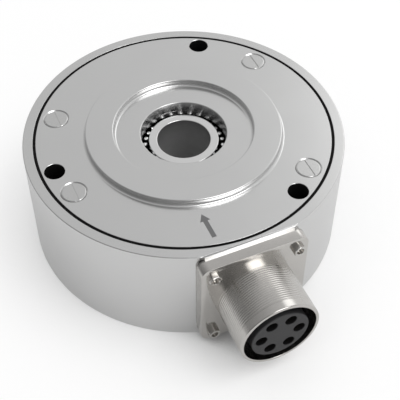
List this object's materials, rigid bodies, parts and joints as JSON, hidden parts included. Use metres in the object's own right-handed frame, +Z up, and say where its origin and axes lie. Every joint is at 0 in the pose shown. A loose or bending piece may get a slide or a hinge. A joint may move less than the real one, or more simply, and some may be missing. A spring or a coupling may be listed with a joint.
{
  "type": "web tension load cell",
  "caption": "Round disc load cell for web tension: flush cover with a raised ring, open needle bearing for a roller shaft, through mounting holes and a side connector.",
  "frame": {"origin": "centre of the flat base, on the bearing axis", "axes": "+Z up along the bearing axis, out of the cover; -Y out of the connector"},
  "size_m": [0.102, 0.1213, 0.0397],
  "materials": {
    "machined_aluminium": "satin, fine turned and milled, clear anodised",
    "seal_rubber": "matt black",
    "screw_steel": "satin stainless",
    "bearing_steel": "ground and polished",
    "element_steel": "milled",
    "gauge_foil": "amber film",
    "lead_insulation": "smooth",
    "board_laminate": "green solder mask",
    "connector_nickel": "satin nickel plate, slightly warm",
    "insert_plastic": "dark grey, matt",
    "contact_plating": "gold plate",
    "spring_steel": "black oxide"
  },
  "bodies": {
    "body": {"housing": "machined_aluminium", "cover_plate": "machined_aluminium", "cover_seal": "seal_rubber", "connector_seal": "seal_rubber", "cover_screws": "screw_steel", "element_screws": "screw_steel", "element_dowels": "screw_steel", "overload_stops": "screw_steel", "bearing_outer_ring": "bearing_steel", "sensing_element": "element_steel", "strain_gauges": "gauge_foil", "gauge_leads": "lead_insulation", "terminal_board": "board_laminate", "connector_shell": "connector_nickel", "connector_screws": "connector_nickel", "connector_insert": "insert_plastic", "contact_sockets": "contact_plating", "insert_retaining_ring": "spring_steel"},
    "needle_set": {"bearing_needles": "bearing_steel"},
    "inner_ring": {"bearing_inner_ring": "bearing_steel"}
  },
  "joints": [
    {"name": "shaft_spin", "type": "hinge", "parent": "body", "child": "inner_ring", "pos_m": [0, 0, 0.02295], "axis": [0, 0, 1], "continuous": true},
    {"name": "needle_orbit", "type": "hinge", "parent": "body", "child": "needle_set", "pos_m": [0, 0, 0.02245], "axis": [0, 0, 1], "continuous": true}
  ],
  "couplings": [
    {"joint": "needle_orbit", "follows": "shaft_spin", "ratio": 0.4482}
  ]
}
